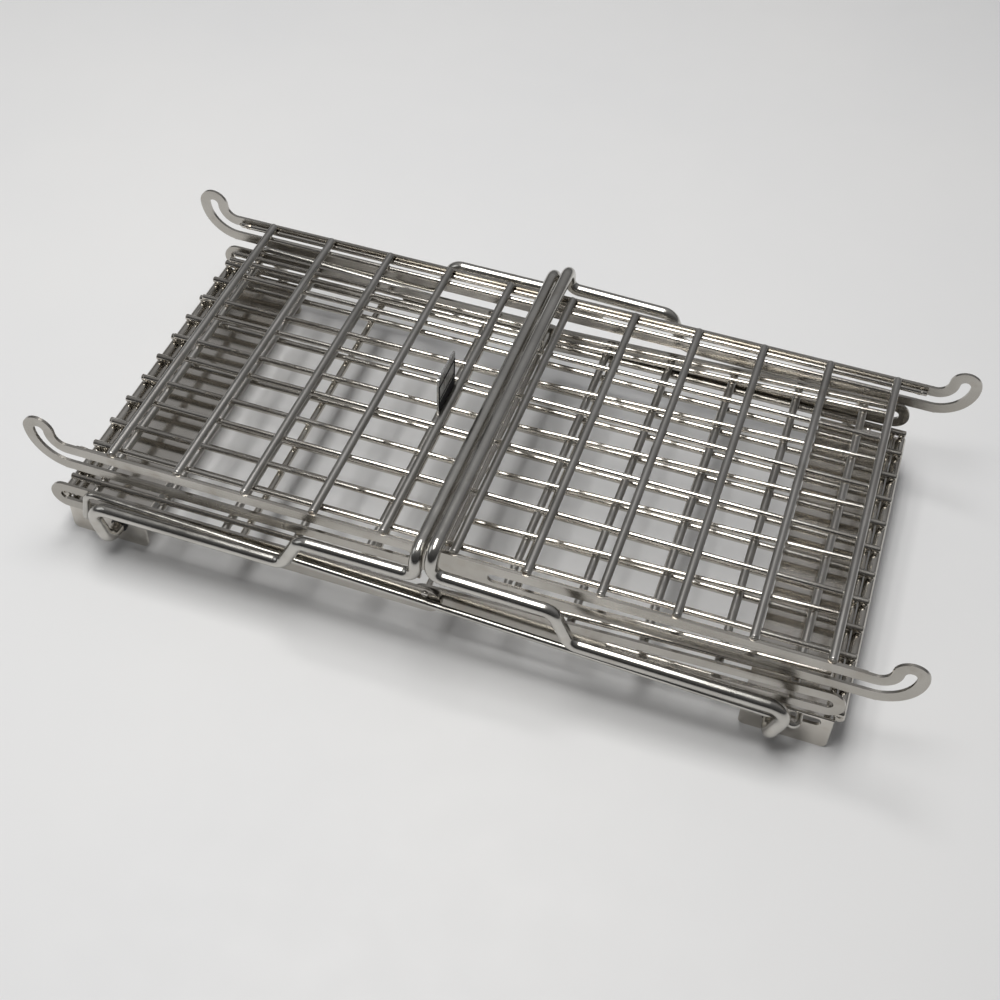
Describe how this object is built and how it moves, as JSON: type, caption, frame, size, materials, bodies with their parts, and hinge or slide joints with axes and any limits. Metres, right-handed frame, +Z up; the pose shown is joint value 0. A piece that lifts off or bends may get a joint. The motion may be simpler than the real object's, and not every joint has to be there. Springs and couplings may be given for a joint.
{
  "type": "folding wire rack",
  "caption": "Folding two-level stainless wire rack, folded flat: loose upper tray, hinged half trays, base shelf on sheet brackets and two U-shaped rod legs.",
  "frame": {"origin": "on the floor, under the middle of the folded rack's bounding box", "axes": "+X along the rack's length, +Y across it towards the rear, +Z up"},
  "size_m": [0.5682, 0.2866, 0.1123],
  "materials": {
    "bracket_sheet": "brushed sheet",
    "base_wire": "drawn wire, satin",
    "rod": "satin rod",
    "rail_plate": "satin plate",
    "cross_wire": "drawn wire, matte",
    "long_wire": "bright drawn wire",
    "hinge_pin": "bright",
    "dark_ring": "black oxide",
    "bright_clip": "satin",
    "badge": "pale plate with a dark border"
  },
  "bodies": {
    "base": {"bracket_left": "bracket_sheet", "bracket_right": "bracket_sheet", "base_long_wires": "base_wire", "base_end_wires": "base_wire", "base_support_bars": "base_wire", "base_end_bars": "base_wire", "side_stay_front": "rod", "side_stay_rear": "rod", "mid_left_rail_front": "rail_plate", "mid_left_rail_rear": "rail_plate", "mid_left_cross_wires": "cross_wire", "mid_left_long_wires": "long_wire", "mid_hinge_pin": "hinge_pin", "mid_hinge_caps": "hinge_pin"},
    "right_half_tray": {"mid_right_rail_front": "rail_plate", "mid_right_rail_rear": "rail_plate", "mid_right_cross_wires": "cross_wire", "mid_right_long_wires": "long_wire"},
    "left_leg": {"leg_left": "rod", "leg_left_rings": "dark_ring", "leg_left_clips": "bright_clip"},
    "right_leg": {"leg_right": "rod", "leg_right_rings": "dark_ring", "leg_right_clips": "bright_clip"},
    "upper_tray": {"tray_rail_front": "rail_plate", "tray_rail_rear": "rail_plate", "tray_cross_wires": "cross_wire", "tray_long_wires": "long_wire", "tray_edge_wires": "long_wire", "badge_plate": "badge"}
  },
  "joints": [
    {"name": "leg_left_fold", "type": "hinge", "parent": "base", "child": "left_leg", "pos_m": [-0.2295, 0, 0.016], "axis": [0, -1, 0], "range_deg": [0, 84]},
    {"name": "leg_right_fold", "type": "hinge", "parent": "base", "child": "right_leg", "pos_m": [0.2065, 0, 0.016], "axis": [0, 1, 0], "range_deg": [0, 84]},
    {"name": "half_tray_tilt", "type": "hinge", "parent": "base", "child": "right_half_tray", "pos_m": [-0.0135, 0, 0.043], "axis": [0, -1, 0], "range_deg": [0, 1]},
    {"name": "tray_slide", "type": "slide", "parent": "base", "child": "upper_tray", "axis": [1, 0, 0], "range_m": [-0.02, 0]}
  ]
}
